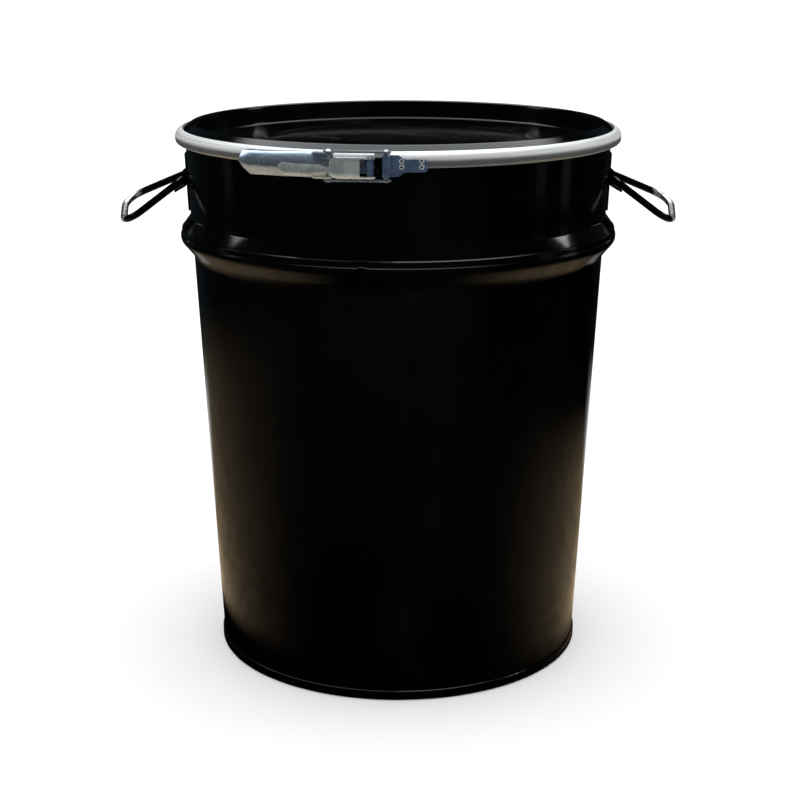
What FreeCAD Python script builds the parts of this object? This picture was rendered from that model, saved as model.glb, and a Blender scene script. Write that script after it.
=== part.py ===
import FreeCAD, Part
import math
import os

from FreeCAD import Vector

# Tapered open-head steel drum, 60 litre class, with a recessed lid, a lever-lock closing ring
# and two wire drop handles.  Millimetres.  Origin: drum axis at the floor, +Z up, latch towards -Y,
# handles on the X axis.

# ---- driving dimensions ------------------------------------------------------------------------
SHEET = 1.0                 # body, lid and bottom sheet
WALL_FOOT_R = 182.8         # outer radius of the lower wall, carried down to the floor
WALL_TAPER = 0.0488         # radius gained per millimetre of height
WALL_START_Z = 2.2          # lower edge of the body sheet, inside the bottom seam

CHIME_R = 184.9             # outside of the bottom seam
CHIME_INNER_R = 180.0       # inner face of the bottom end's countersink
CHIME_TOP_Z = 9.0
CHIME_LIP = (1.0, 0.35)     # how far the folded edge leans in and rises
END_RECESS_Z = 9.0          # underside of the bottom end's flat
END_BENDS = (3.0, 1.6, 1.6, 1.4)
COMPOUND_SIDE_GAP = 0.4
COMPOUND_END_GAP = 0.05

BEAD_R = 215.1              # crest of the single rolled bead
BEAD_Z = 425.7
BEAD_CREST_RADIUS = 13.0
BEAD_HALF_FLAT = 5.4        # half the height of the crest's control line
BEAD_FOOT_Z = 405.7
BEAD_TOP_Z = 443.0
BEAD_TOP_R = 204.9
BEAD_FOOT_BEND = 6.0
BEAD_TOP_BEND = 4.0

NECK_R = 207.98             # outer radius of the wall where the curl starts
CURL_Z = 518.1              # height of the curl's centre
CURL_INNER_RADIUS = 2.2     # bend radius of the wall's outer face in the curl
CURL_EDGE_GAP = 1.5         # gap between the curl's edge and the wall

LID_LIP_R = 215.4
LID_LIP_Z = 520.6
LID_LIP_TOP_Z = 523.7
LID_SHOULDER = (213.9, 524.2)
LID_LIP_BEND = 1.6
LID_SHOULDER_BEND = 2.5
LID_CREST_OUTER_R = 202.0
LID_CREST_INNER_R = 198.8
LID_CREST_Z = 532.9
LID_CREST_BENDS = (3.6, 3.0)
LID_RECESS_R = 193.9
LID_FLOOR_Z = 514.5
LID_PANEL_R = 128.0         # edge of the lid's centre panel
LID_PANEL_STEP = 1.2
LID_FLOOR_BEND = 4.0
GASKET_LIFT = 0.3           # clearance over the curl's top
GASKET_SECTION = (          # corners above the seat: radius, height, corner radius
    (213.6, 522.6, 0.8), (212.0, 523.7, 0.8), (206.6, 527.2, 1.0), (205.8, 525.6, 1.5))
GASKET_INNER_R = 207.0
GASKET_OUTER_R = 213.6
GASKET_BEND = 0.8

RING_SHEET = 1.2
RING_R = 217.5              # outside of the closing ring
RING_TOP = (210.7, 528.0)   # inner edge of the ring's upper leg
RING_FOOT = (212.4, 513.9)  # inner edge of the ring's lower leg
RING_FACE_TOP_Z = 526.2
RING_FACE_FOOT_Z = 515.2
RING_FOOT_BEND = 3.6
RING_TOP_BEND = 4.2
RING_HINGE_ANGLE = 60.0     # the ring bends at this angle each side of the rear
RING_SPLIT_GAP = 0.3        # gap between the ring's segments
RING_LEFT_END_X = -20.7
RING_RIGHT_END_X = -7.0

FULCRUM = (-24.0, -222.6)   # lever pivot on the left end of the ring
LEVER_LINK = (-60.0, -216.5)
LEAF_PIVOT = (-10.4, -221.0)
PIN_R = 2.0
PIN_CLEARANCE = 0.05

STRAP = 1.5                 # sheet of the latch's leaf, bracket and link plates
STRAP_INNER_R = RING_R + 0.05
RIVET_UPPER_Z = 521.0
RIVET_LOWER_Z = 515.9
LEAF_RIVETS = [(x, z) for x in (2.9, 20.2) for z in (RIVET_UPPER_Z, RIVET_LOWER_Z)]
FULCRUM_RIVETS = [(x, z) for x in (-31.5, -40.5) for z in (RIVET_UPPER_Z, RIVET_LOWER_Z)]
RIVET_BORE_R = 0.9
RIVET_SHANK_R = 1.45
RIVET_HOLE_R = 1.5
RIVET_TAIL_R = 1.9
RIVET_HEAD_R = 2.2
RIVET_LIP = 0.55            # height of a rivet's head and tail
RIVET_LOWER_REACH = 0.9     # how much deeper the lower row goes, where the ring's foot bends in
DOME_R = 3.2                # domed heads of the link's pins
DOME_HEIGHT = 1.5

LEAF_LOW_Z = 507.4
LEAF_HIGH_Z = 526.0
LEAF_OUTLINE = (            # front view: x, z, corner radius
    (-10.0, LEAF_LOW_Z, 0), (0.5, LEAF_LOW_Z, 4), (5.5, 511.3, 4), (26.0, 511.3, 4.5),
    (26.0, 522.3, 4.5), (5.5, 522.3, 4), (0.5, LEAF_HIGH_Z, 4), (-10.0, LEAF_HIGH_Z, 0))
LEAF_PIN_END_GAP = 0.3
FULCRUM_STRAP_X = (-46.0, -20.8)
FULCRUM_LOW_Z = 510.0
FULCRUM_HIGH_Z = 522.8
FULCRUM_KNUCKLE_LOW_Z = 508.6
FULCRUM_KNUCKLE_WALL = 0.9
FULCRUM_WEB_WIDTH = 5.0
FULCRUM_PIN_Z = (506.3, 524.9)
FULCRUM_HEAD_R = 3.0
FULCRUM_HEAD_HEIGHT = 1.1

LEVER_SHEET = 1.3
LEVER_WEB = ((-33.0, -225.0), (-84.0, -215.0), (-135.0, -195.0))   # outer face in plan
LEVER_TIP_X = -139.5
LEVER_LOW_Z = 506.0
LEVER_HIGH_Z = 528.0
LEVER_FLANGE = 22.0         # depth of the channel's flanges before they are cut round the ring
LEVER_SHOULDER = (2.5, 4.5) # depth and height of the channel's rounded shoulders
LEVER_BENDS = (3.0, 6.0)
LEVER_RING_GAP = 0.8
LEVER_NECK_X = -57.0        # end of the grip's web, where the pressing necks in
GRIP_EAR_ROOT = (-70.0, -214.0)
GRIP_EAR_HALF = 4.6
TIP_CHAMFER = (18.0, 11.0)  # length and height of the chamfer under the lever's tip
SEAL_HOLE = (-80.0, -209.4) # slot for a seal in the lever's upper flange
SEAL_HOLE_SIZE = (8.0, 3.2)
SEAL_HOLE_TURN = -20.0
PRESSING_START_X = -104.0
PRESSING_LOW_Z = 508.4
PRESSING_HIGH_Z = 522.4
PRESSING_FLANGE = 6.0
PRESSING_GAP = 0.05
PALM_END_X = -33.0
PALM_LOW_Z = 506.6
PALM_HIGH_Z = 524.6
PALM_FLANGE = 7.0
PALM_BEND = 2.4
PALM_EAR_ROOT = (-50.0, -220.6)
PALM_EAR_HALF = 4.4
LINK_HALF_WIDTH = 4.6
LINK_UPPER_Z = 528.4
LINK_LOWER_Z = 503.6

HANDLE_X = 210.6            # axis of the handles' pivot bars
HANDLE_Z = 478.0
HANDLE_DROOP = 30.0         # degrees below level at rest
HANDLE_LEAN = 8.4           # how far the grip's front corner is bent down and its rear corner up
HANDLE_WIRE_R = 3.5
HANDLE_WIRE_GAP = 0.8       # between the wire's ends, inside the bracket
HANDLE_ROOT_HALF = 28.0
HANDLE_GRIP_HALF = 36.5
HANDLE_REACH = 71.0
HANDLE_ROOT_BEND = 7.0
HANDLE_GRIP_BEND = 19.4

BRACKET_SHEET = 2.0
BRACKET_HALF_WIDTH = 19.0
BRACKET_LOW_Z = 446.5
BRACKET_HIGH_Z = 502.0
BRACKET_INNER_X = 190.0     # inside the wall, where cutting blocks start
KNUCKLE_FOOT_X = 200.0
TONGUE_LENGTH = 12.0
TONGUE_OVERHANG = 2.5
TONGUE_GAP = 0.3

OVERRUN = 20.0              # how far a cutting tool runs past what it cuts
Z_AXIS = Vector(0, 0, 1)


# ---- sections and solids -----------------------------------------------------------------------
def line_between(a, b, c, d):
    """Crossing point of the lines a-b and c-d."""
    r = (b[0] - a[0], b[1] - a[1])
    s = (d[0] - c[0], d[1] - c[1])
    cross = r[0] * s[1] - r[1] * s[0]
    t = ((c[0] - a[0]) * s[1] - (c[1] - a[1]) * s[0]) / cross
    return (a[0] + t * r[0], a[1] + t * r[1])


def turn_at(before, point, after):
    """Signed turn in radians of a path at one of its points, positive to the left."""
    first = math.atan2(point[1] - before[1], point[0] - before[0])
    second = math.atan2(after[1] - point[1], after[0] - point[0])
    return (second - first + math.pi) % (2 * math.pi) - math.pi


def rounded_edges(points, radii, place):
    """Lines and tangent arcs along points; place turns a pair of numbers into a 3D point."""
    edges = []
    last = points[0]
    for i in range(1, len(points) - 1):
        before, point, after = points[i - 1], points[i], points[i + 1]
        turn = turn_at(before, point, after)
        reach = radii[i] * math.tan(abs(turn) / 2)
        if reach < 1e-6:
            start, end, middle = point, point, None
        else:
            to_before = math.atan2(before[1] - point[1], before[0] - point[0])
            to_after = math.atan2(after[1] - point[1], after[0] - point[0])
            start = (point[0] + reach * math.cos(to_before), point[1] + reach * math.sin(to_before))
            end = (point[0] + reach * math.cos(to_after), point[1] + reach * math.sin(to_after))
            depth = radii[i] * (1 / math.cos(turn / 2) - 1)
            inward_x = math.cos(to_before) + math.cos(to_after)
            inward_y = math.sin(to_before) + math.sin(to_after)
            size = math.hypot(inward_x, inward_y)
            middle = (point[0] + depth * inward_x / size, point[1] + depth * inward_y / size)
        if math.dist(last, start) > 1e-5:
            edges.append(Part.LineSegment(place(last), place(start)).toShape())
        if middle:
            edges.append(Part.Arc(place(start), place(middle), place(end)).toShape())
        last = end
    if math.dist(last, points[-1]) > 1e-5:
        edges.append(Part.LineSegment(place(last), place(points[-1])).toShape())
    return edges


def rounded_path(points, radii):
    """Wire of lines and tangent arcs along points in space; the ends have no radius."""
    edges = []
    last = points[0]
    for before, point, after, radius in zip(points, points[1:], points[2:], radii[1:]):
        back = (before - point).normalize()
        ahead = (after - point).normalize()
        half = back.getAngle(ahead) / 2
        inward = (back + ahead).normalize()
        start = point + back * (radius / math.tan(half))
        end = point + ahead * (radius / math.tan(half))
        middle = point + inward * (radius / math.sin(half) - radius)
        edges.append(Part.LineSegment(last, start).toShape())
        edges.append(Part.Arc(start, middle, end).toShape())
        last = end
    edges.append(Part.LineSegment(last, points[-1]).toShape())
    return Part.Wire(edges)


def in_section(point):
    return Vector(point[0], 0, point[1])


def in_plan(point):
    return Vector(point[0], point[1], 0)


def offset_path(points, radii, thickness):
    """The same path moved to its left by thickness, with its bends kept concentric."""
    moved = []
    for a, b in zip(points, points[1:]):
        length = math.dist(a, b)
        nx, ny = -(b[1] - a[1]) / length, (b[0] - a[0]) / length
        shift = (nx * thickness, ny * thickness)
        moved.append(((a[0] + shift[0], a[1] + shift[1]), (b[0] + shift[0], b[1] + shift[1])))
    new_points = [moved[0][0]]
    new_radii = [0.0]
    for i in range(1, len(points) - 1):
        new_points.append(line_between(*moved[i - 1], *moved[i]))
        side = 1 if turn_at(points[i - 1], points[i], points[i + 1]) > 0 else -1
        new_radii.append(max(radii[i] - side * thickness, 0.0))
    new_points.append(moved[-1][1])
    new_radii.append(0.0)
    return new_points, new_radii


def split_corners(corners):
    return [corner[:2] for corner in corners], [corner[2] for corner in corners]


def sheet_face(corners, thickness, place=in_section):
    """Section of bent sheet: corners are (x, y, bend radius), the sheet lies to the left."""
    points, radii = split_corners(corners)
    other_points, other_radii = offset_path(points, radii, thickness)
    edges = rounded_edges(points, radii, place)
    edges.append(Part.LineSegment(place(points[-1]), place(other_points[-1])).toShape())
    back = rounded_edges(other_points, other_radii, place)
    edges.extend(reversed(back))
    edges.append(Part.LineSegment(place(other_points[0]), place(points[0])).toShape())
    return Part.Face(Part.Wire(Part.__sortEdges__(edges)))


def solid_face(corners, place=in_section):
    """Closed section with rounded corners given as (x, y, radius); the first has no radius."""
    points, radii = split_corners(corners)
    edges = rounded_edges(points + [points[0]], radii + [0.0], place)
    return Part.Face(Part.Wire(Part.__sortEdges__(edges)))


def revolve(face, start=0.0, sweep=360.0):
    section = face.copy()
    section.rotate(Vector(0, 0, 0), Z_AXIS, start)
    return section.revolve(Vector(0, 0, 0), Z_AXIS, sweep)


def shell_band(inner_r, outer_r, low_z, high_z):
    outer = Part.makeCylinder(outer_r, high_z - low_z, Vector(0, 0, low_z))
    inner = Part.makeCylinder(inner_r, high_z - low_z, Vector(0, 0, low_z))
    return outer.cut(inner)


def upright(point, radius, low_z, high_z):
    return Part.makeCylinder(radius, high_z - low_z, Vector(point[0], point[1], low_z))


def domed_head(point, radius, height, z, upward):
    """Low dome of a rivet head standing on the level z."""
    ball_r = (radius ** 2 + height ** 2) / (2 * height)
    side = 1 if upward else -1
    ball = Part.makeSphere(ball_r, Vector(point[0], point[1], z + side * (height - ball_r)))
    low, high = (z, z + height + 1) if upward else (z - height - 1, z)
    return ball.common(upright(point, radius, low, high))


def stadium(start, end, half_width, low_z, high_z):
    """Flat link with round ends about two upright axes."""
    angle = math.degrees(math.atan2(end[1] - start[1], end[0] - start[0]))
    bar = Part.makeBox(math.dist(start, end), 2 * half_width, high_z - low_z, Vector(0, -half_width, low_z))
    bar.rotate(Vector(0, 0, 0), Z_AXIS, angle)
    bar.translate(Vector(start[0], start[1], 0))
    ends = [upright(point, half_width, low_z, high_z) for point in (start, end)]
    return bar.fuse(ends).removeSplitter()


def mirrored_x(shape):
    return shape.mirror(Vector(0, 0, 0), Vector(1, 0, 0))


# ---- drum body ---------------------------------------------------------------------------------
def wall_r(z):
    return WALL_FOOT_R + WALL_TAPER * z


def upper_wall_r(z):
    return BEAD_TOP_R + (NECK_R - BEAD_TOP_R) * (z - BEAD_TOP_Z) / (CURL_Z - BEAD_TOP_Z)


def make_drum_shell():
    curl_top = CURL_Z + CURL_INNER_RADIUS
    curl_foot = CURL_Z - CURL_INNER_RADIUS
    curl_out = NECK_R + 2 * CURL_INNER_RADIUS
    face = sheet_face([
        (wall_r(WALL_START_Z), WALL_START_Z, 0),
        (wall_r(BEAD_FOOT_Z), BEAD_FOOT_Z, BEAD_FOOT_BEND),
        (BEAD_R, BEAD_Z - BEAD_HALF_FLAT, BEAD_CREST_RADIUS),
        (BEAD_R, BEAD_Z + BEAD_HALF_FLAT, BEAD_CREST_RADIUS),
        (BEAD_TOP_R, BEAD_TOP_Z, BEAD_TOP_BEND),
        (NECK_R, curl_top, CURL_INNER_RADIUS),
        (curl_out, curl_top, CURL_INNER_RADIUS),
        (curl_out, curl_foot, CURL_INNER_RADIUS),
        (NECK_R + CURL_EDGE_GAP, curl_foot, 0),
    ], SHEET)
    return revolve(face)


def make_bottom_end():
    face = sheet_face([
        (0, END_RECESS_Z, 0),
        (CHIME_INNER_R, END_RECESS_Z, END_BENDS[0]),
        (CHIME_INNER_R, 0, END_BENDS[1]),
        (CHIME_R, 0, END_BENDS[2]),
        (CHIME_R, CHIME_TOP_Z, END_BENDS[3]),
        (CHIME_R - CHIME_LIP[0], CHIME_TOP_Z + CHIME_LIP[1], 0),
    ], SHEET)
    return revolve(face)


def make_seam_compound():
    """Lining compound under the body's lower edge, inside the bottom seam."""
    inner = CHIME_INNER_R + SHEET + COMPOUND_SIDE_GAP
    outer = CHIME_R - SHEET - COMPOUND_SIDE_GAP
    return shell_band(inner, outer, SHEET + COMPOUND_END_GAP, WALL_START_Z - COMPOUND_END_GAP)


# ---- handles -----------------------------------------------------------------------------------
def droop_point(out, along, up=0.0):
    """Point in the frame of the right handle: out from its axis, along it, and square to both."""
    angle = math.radians(HANDLE_DROOP)
    x = HANDLE_X + out * math.cos(angle) + up * math.sin(angle)
    z = HANDLE_Z - out * math.sin(angle) + up * math.cos(angle)
    return Vector(x, along, z)


def make_handle_right():
    split = HANDLE_WIRE_GAP / 2
    path = rounded_path([
        droop_point(0, split),
        droop_point(0, HANDLE_ROOT_HALF),
        droop_point(HANDLE_REACH, HANDLE_GRIP_HALF, HANDLE_LEAN),
        droop_point(HANDLE_REACH, -HANDLE_GRIP_HALF, -HANDLE_LEAN),
        droop_point(0, -HANDLE_ROOT_HALF),
        droop_point(0, -split),
    ], [0, HANDLE_ROOT_BEND, HANDLE_GRIP_BEND, HANDLE_GRIP_BEND, HANDLE_ROOT_BEND])
    section = Part.Wire(Part.makeCircle(HANDLE_WIRE_R, droop_point(0, split), Vector(0, 1, 0)))
    return path.makePipeShell([section], True, True)


def wall_cone(extra_r):
    """Solid cone of the upper wall's outer face, that much larger, over the bracket's height."""
    low = BRACKET_LOW_Z - OVERRUN
    high = BRACKET_HIGH_Z + OVERRUN
    return Part.makeCone(upper_wall_r(low) + extra_r, upper_wall_r(high) + extra_r, high - low, Vector(0, 0, low))


def bracket_block(start_x, radius, overhang=0.0):
    """Block from start_x to the handle's axis, as high as the radius and as wide as the bracket."""
    half = BRACKET_HALF_WIDTH + overhang
    corner = Vector(start_x, -half, HANDLE_Z - radius)
    return Part.makeBox(HANDLE_X - start_x, 2 * half, 2 * radius, corner)


def bracket_rod(radius, overhang=0.0):
    half = BRACKET_HALF_WIDTH + overhang
    return Part.makeCylinder(radius, 2 * half, Vector(HANDLE_X, -half, HANDLE_Z), Vector(0, 1, 0))


def make_bracket_right():
    """Strap welded to the wall and folded into a tunnel round the handle's pivot bar."""
    strip = Part.makeBox(
        2 * OVERRUN, 2 * BRACKET_HALF_WIDTH, BRACKET_HIGH_Z - BRACKET_LOW_Z,
        Vector(BRACKET_INNER_X, -BRACKET_HALF_WIDTH, BRACKET_LOW_Z))
    plate = wall_cone(BRACKET_SHEET).common(strip)
    tunnel_r = HANDLE_WIRE_R + PIN_CLEARANCE
    round_r = tunnel_r + BRACKET_SHEET
    body = plate.fuse([bracket_rod(round_r), bracket_block(KNUCKLE_FOOT_X, round_r)])
    hollow = bracket_rod(tunnel_r, 1.0)
    body = body.cut(hollow.fuse(bracket_block(BRACKET_INNER_X, tunnel_r, 1.0)))
    body = body.fuse(make_stop_tongue()).cut(hollow).cut(wall_cone(0.0))
    return largest_solid(body.removeSplitter())


def make_stop_tongue():
    """Tab under the loop's root that the lowered handle lies on."""
    lean = HANDLE_LEAN * TONGUE_LENGTH / HANDLE_REACH
    top = -HANDLE_WIRE_R - TONGUE_GAP - lean
    half = HANDLE_ROOT_HALF + TONGUE_OVERHANG
    outline = [
        droop_point(0, -half, top), droop_point(TONGUE_LENGTH, -half, top),
        droop_point(TONGUE_LENGTH, half, top), droop_point(0, half, top), droop_point(0, -half, top)]
    face = Part.Face(Part.makePolygon(outline))
    down = droop_point(0, 0, -BRACKET_SHEET) - droop_point(0, 0, 0)
    return face.extrude(down)


def largest_solid(shape):
    return max(shape.Solids, key=lambda solid: solid.Volume)


# ---- lid ---------------------------------------------------------------------------------------
def make_lid():
    face = sheet_face([
        (LID_LIP_R, LID_LIP_Z, 0),
        (LID_LIP_R, LID_LIP_TOP_Z, LID_LIP_BEND),
        (*LID_SHOULDER, LID_SHOULDER_BEND),
        (LID_CREST_OUTER_R, LID_CREST_Z, LID_CREST_BENDS[0]),
        (LID_CREST_INNER_R, LID_CREST_Z, LID_CREST_BENDS[1]),
        (LID_RECESS_R, LID_FLOOR_Z, LID_FLOOR_BEND),
        (LID_PANEL_R + LID_PANEL_STEP, LID_FLOOR_Z, LID_FLOOR_BEND),
        (LID_PANEL_R - LID_PANEL_STEP, LID_FLOOR_Z + LID_PANEL_STEP, LID_FLOOR_BEND),
        (0, LID_FLOOR_Z + LID_PANEL_STEP, 0),
    ], SHEET)
    return revolve(face)


def make_gasket():
    """Foamed seal in the lid's channel, lying just over the curl."""
    seat = CURL_Z + CURL_INNER_RADIUS + SHEET + GASKET_LIFT
    face = solid_face([(GASKET_INNER_R, seat, 0), (GASKET_OUTER_R, seat, GASKET_BEND), *GASKET_SECTION])
    return revolve(face)


# ---- closing ring ------------------------------------------------------------------------------
def ring_section():
    return sheet_face([
        (*RING_FOOT, 0),
        (RING_R, RING_FACE_FOOT_Z, RING_FOOT_BEND),
        (RING_R, RING_FACE_TOP_Z, RING_TOP_BEND),
        (*RING_TOP, 0),
    ], RING_SHEET)


def end_angle(x):
    """Angle about the drum axis of a point on the front of the ring at a given x."""
    return 270.0 + math.degrees(math.asin(x / RING_R))


def ring_segment(start, end):
    return revolve(ring_section(), start, end - start)


def front_direction(x):
    angle = math.radians(end_angle(x))
    return Vector(math.cos(angle), math.sin(angle), 0)


def radial_rivet(x, z, outer_r):
    """Tubular rivet through strap and ring; it has a tail inside where the ring's face is flat."""
    inner_r = RING_R - RING_SHEET
    if z == RIVET_LOWER_Z:
        inner_r -= RIVET_LOWER_REACH
    tail = inner_r - RIVET_LIP
    head = outer_r + RIVET_LIP
    outward = front_direction(x)

    def stretch(radius, start, end):
        base = outward * start + Vector(0, 0, z)
        return Part.makeCylinder(radius, end - start, base, outward)

    body = stretch(RIVET_SHANK_R, tail, head).fuse(stretch(RIVET_HEAD_R, outer_r, head))
    if z == RIVET_UPPER_Z:
        body = body.fuse(stretch(RIVET_TAIL_R, tail, inner_r))
    return body.cut(stretch(RIVET_BORE_R, tail - 1, head + 1)).removeSplitter()


def rivet_holes(places):
    holes = []
    for x, z in places:
        outward = front_direction(x)
        base = outward * (RING_R - OVERRUN / 2) + Vector(0, 0, z)
        holes.append(Part.makeCylinder(RIVET_HOLE_R, OVERRUN, base, outward))
    return holes


def make_rivets(places):
    outer = STRAP_INNER_R + STRAP
    return Part.makeCompound([radial_rivet(x, z, outer) for x, z in places])


def make_ring_bands():
    hinge_left = 90.0 + RING_HINGE_ANGLE
    hinge_right = 90.0 - RING_HINGE_ANGLE
    half_gap = math.degrees(RING_SPLIT_GAP / 2 / RING_R)
    rear = ring_segment(hinge_right + half_gap, hinge_left - half_gap)
    left = ring_segment(hinge_left + half_gap, end_angle(RING_LEFT_END_X))
    right = ring_segment(end_angle(RING_RIGHT_END_X), hinge_right + 360.0 - half_gap)
    return rear, left.cut(rivet_holes(FULCRUM_RIVETS)), right.cut(rivet_holes(LEAF_RIVETS))


# ---- latch -------------------------------------------------------------------------------------
def strap_on_ring(outline):
    """Strap wrapped on the ring's face; outline is its front view as (x, z, corner radius)."""
    block = solid_face(outline).extrude(Vector(0, -RING_R - OVERRUN, 0))
    band = shell_band(STRAP_INNER_R, STRAP_INNER_R + STRAP, LINK_LOWER_Z, LINK_UPPER_Z)
    return largest_solid(block.common(band))


def pin_hole(point):
    return upright(point, PIN_R + PIN_CLEARANCE, LINK_LOWER_Z - OVERRUN, LINK_UPPER_Z + OVERRUN)


def make_hinge_leaf():
    knuckle = upright(LEAF_PIVOT, PIN_R + STRAP, LEAF_LOW_Z, LEAF_HIGH_Z)
    leaf = strap_on_ring(LEAF_OUTLINE).fuse(knuckle).cut(pin_hole(LEAF_PIVOT))
    return leaf.cut(rivet_holes(LEAF_RIVETS)).removeSplitter()


def make_leaf_pin():
    return upright(LEAF_PIVOT, PIN_R, LINK_LOWER_Z + STRAP + LEAF_PIN_END_GAP, LINK_UPPER_Z - LEAF_PIN_END_GAP)


def make_fulcrum_bracket():
    start_x, end_x = FULCRUM_STRAP_X
    low, high = FULCRUM_LOW_Z, FULCRUM_HIGH_Z
    strap = strap_on_ring([(start_x, low, 0), (end_x, low, 0), (end_x, high, 0), (start_x, high, 0)])
    knuckle = upright(FULCRUM, PIN_R + FULCRUM_KNUCKLE_WALL, FULCRUM_KNUCKLE_LOW_Z, high)
    web_corner = Vector(FULCRUM[0] - FULCRUM_WEB_WIDTH / 2, FULCRUM[1], low)
    web = Part.makeBox(FULCRUM_WEB_WIDTH, FULCRUM_WEB_WIDTH, high - low, web_corner)
    bracket = strap.fuse([knuckle, web]).cut(pin_hole(FULCRUM))
    bracket = bracket.cut(Part.makeCylinder(STRAP_INNER_R, 2 * OVERRUN, Vector(0, 0, low - OVERRUN)))
    return largest_solid(bracket.cut(rivet_holes(FULCRUM_RIVETS)).removeSplitter())


def make_fulcrum_pin():
    low, high = FULCRUM_PIN_Z
    heads = [
        domed_head(FULCRUM, FULCRUM_HEAD_R, FULCRUM_HEAD_HEIGHT, high, True),
        domed_head(FULCRUM, FULCRUM_HEAD_R, FULCRUM_HEAD_HEIGHT, low, False)]
    return upright(FULCRUM, PIN_R, low, high).fuse(heads).removeSplitter()


def circle_through(a, b, c):
    """Centre and radius in plan of the circle through three points."""
    curve = Part.Arc(in_plan(a), in_plan(b), in_plan(c)).toShape().Curve
    return curve.Center, curve.Radius


def lever_angle(x):
    """Angle about the lever's centre of curvature where its outer face crosses x."""
    centre, radius = circle_through(*LEVER_WEB)
    return 270.0 + math.degrees(math.asin((x - centre.x) / radius))


def lever_corners(outer, depth):
    """Rounded channel of the lever with its web at radius outer and flanges of that depth."""
    inset, rise = LEVER_SHOULDER
    edge_bend, face_bend = LEVER_BENDS
    return [
        (outer - depth, LEVER_LOW_Z, 0), (outer - inset, LEVER_LOW_Z, edge_bend),
        (outer, LEVER_LOW_Z + rise, face_bend), (outer, LEVER_HIGH_Z - rise, face_bend),
        (outer - inset, LEVER_HIGH_Z, edge_bend), (outer - depth, LEVER_HIGH_Z, 0)]


def lever_sweep(face, start_x, end_x):
    """Section swept along the lever's curve between two stations of x."""
    start = lever_angle(start_x)
    solid = revolve(face, start, lever_angle(end_x) - start)
    solid.translate(circle_through(*LEVER_WEB)[0])
    return solid


def clear_of_ring():
    low = LINK_LOWER_Z - OVERRUN
    return Part.makeCylinder(RING_R + LEVER_RING_GAP, 3 * OVERRUN, Vector(0, 0, low))


def make_lever_grip():
    """Rounded channel that hugs the ring, with the ears of the link's pivot."""
    radius = circle_through(*LEVER_WEB)[1]
    face = sheet_face(lever_corners(radius, LEVER_FLANGE), LEVER_SHEET)
    grip = lever_sweep(face, LEVER_TIP_X, LEVER_NECK_X)
    for z in (LEVER_LOW_Z, LEVER_HIGH_Z - LEVER_SHEET):
        grip = grip.fuse(stadium(GRIP_EAR_ROOT, LEVER_LINK, GRIP_EAR_HALF, z, z + LEVER_SHEET))
    grip = grip.cut([clear_of_ring(), pin_hole(LEVER_LINK), tip_chamfer(), seal_hole()])
    return largest_solid(grip.removeSplitter())


def tip_chamfer():
    low = LEVER_LOW_Z - 4.0
    back_x = LEVER_TIP_X - 2.0
    corner = Vector(back_x, -RING_R - OVERRUN, low)
    outline = [corner, corner + Vector(TIP_CHAMFER[0], 0, 0), corner + Vector(0, 0, TIP_CHAMFER[1] + 4.0), corner]
    return Part.Face(Part.makePolygon(outline)).extrude(Vector(0, RING_R, 0))


def seal_hole():
    length, width = SEAL_HOLE_SIZE
    slot = Part.makeBox(
        length, width, OVERRUN / 2, Vector(SEAL_HOLE[0] - length / 2, SEAL_HOLE[1] - width / 2, LEVER_HIGH_Z - 5))
    slot.rotate(Vector(*SEAL_HOLE, 0), Z_AXIS, SEAL_HOLE_TURN)
    return slot


def make_lever_body():
    """Pressing over the grip, necked in before the palm plate that carries the pivot's ears."""
    radius = circle_through(*LEVER_WEB)[1]
    corners = split_corners(lever_corners(radius, PRESSING_FLANGE))
    points, radii = offset_path(*corners, -LEVER_SHEET - PRESSING_GAP)
    cover = sheet_face([(*point, bend) for point, bend in zip(points, radii)], LEVER_SHEET)
    slab = Part.makeBox(
        2 * RING_R, 2 * RING_R, PRESSING_HIGH_Z - PRESSING_LOW_Z, Vector(-RING_R, -2 * RING_R, PRESSING_LOW_Z))
    pressing = lever_sweep(cover, PRESSING_START_X, LEVER_NECK_X).common(slab)
    web = radius + LEVER_SHEET + PRESSING_GAP
    wide = sheet_face([
        (web - PALM_FLANGE, PALM_LOW_Z, 0), (web, PALM_LOW_Z, PALM_BEND),
        (web, PALM_HIGH_Z, PALM_BEND), (web - PALM_FLANGE, PALM_HIGH_Z, 0)], LEVER_SHEET)
    body = pressing.fuse(lever_sweep(wide, LEVER_NECK_X, PALM_END_X))
    for z in (PALM_LOW_Z, PALM_HIGH_Z - LEVER_SHEET):
        body = body.fuse(stadium(PALM_EAR_ROOT, FULCRUM, PALM_EAR_HALF, z, z + LEVER_SHEET))
    return largest_solid(body.cut(pin_hole(FULCRUM)).removeSplitter())


def make_link_plate(z):
    plate = stadium(LEVER_LINK, LEAF_PIVOT, LINK_HALF_WIDTH, z, z + STRAP)
    holes = [upright(point, PIN_R, z - 1, z + STRAP + 1) for point in (LEVER_LINK, LEAF_PIVOT)]
    return plate.cut(holes)


def make_link_lever_pin():
    low, high = LINK_LOWER_Z, LINK_UPPER_Z + STRAP
    shank = upright(LEVER_LINK, PIN_R, low, high)
    heads = [
        domed_head(LEVER_LINK, DOME_R, DOME_HEIGHT, high, True),
        domed_head(LEVER_LINK, DOME_R, DOME_HEIGHT, low, False)]
    return shank.fuse(heads).removeSplitter()


def make_link_end_rivets():
    """Rivets of the link's free end: heads outside the plates, flush inside them."""
    rivets = []
    for z, top in ((LINK_LOWER_Z, False), (LINK_UPPER_Z, True)):
        head_z = z + STRAP if top else z
        shank = upright(LEAF_PIVOT, PIN_R, z, z + STRAP)
        head = domed_head(LEAF_PIVOT, DOME_R, DOME_HEIGHT, head_z, top)
        rivets.append(shank.fuse(head).removeSplitter())
    return Part.makeCompound(rivets)


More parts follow.
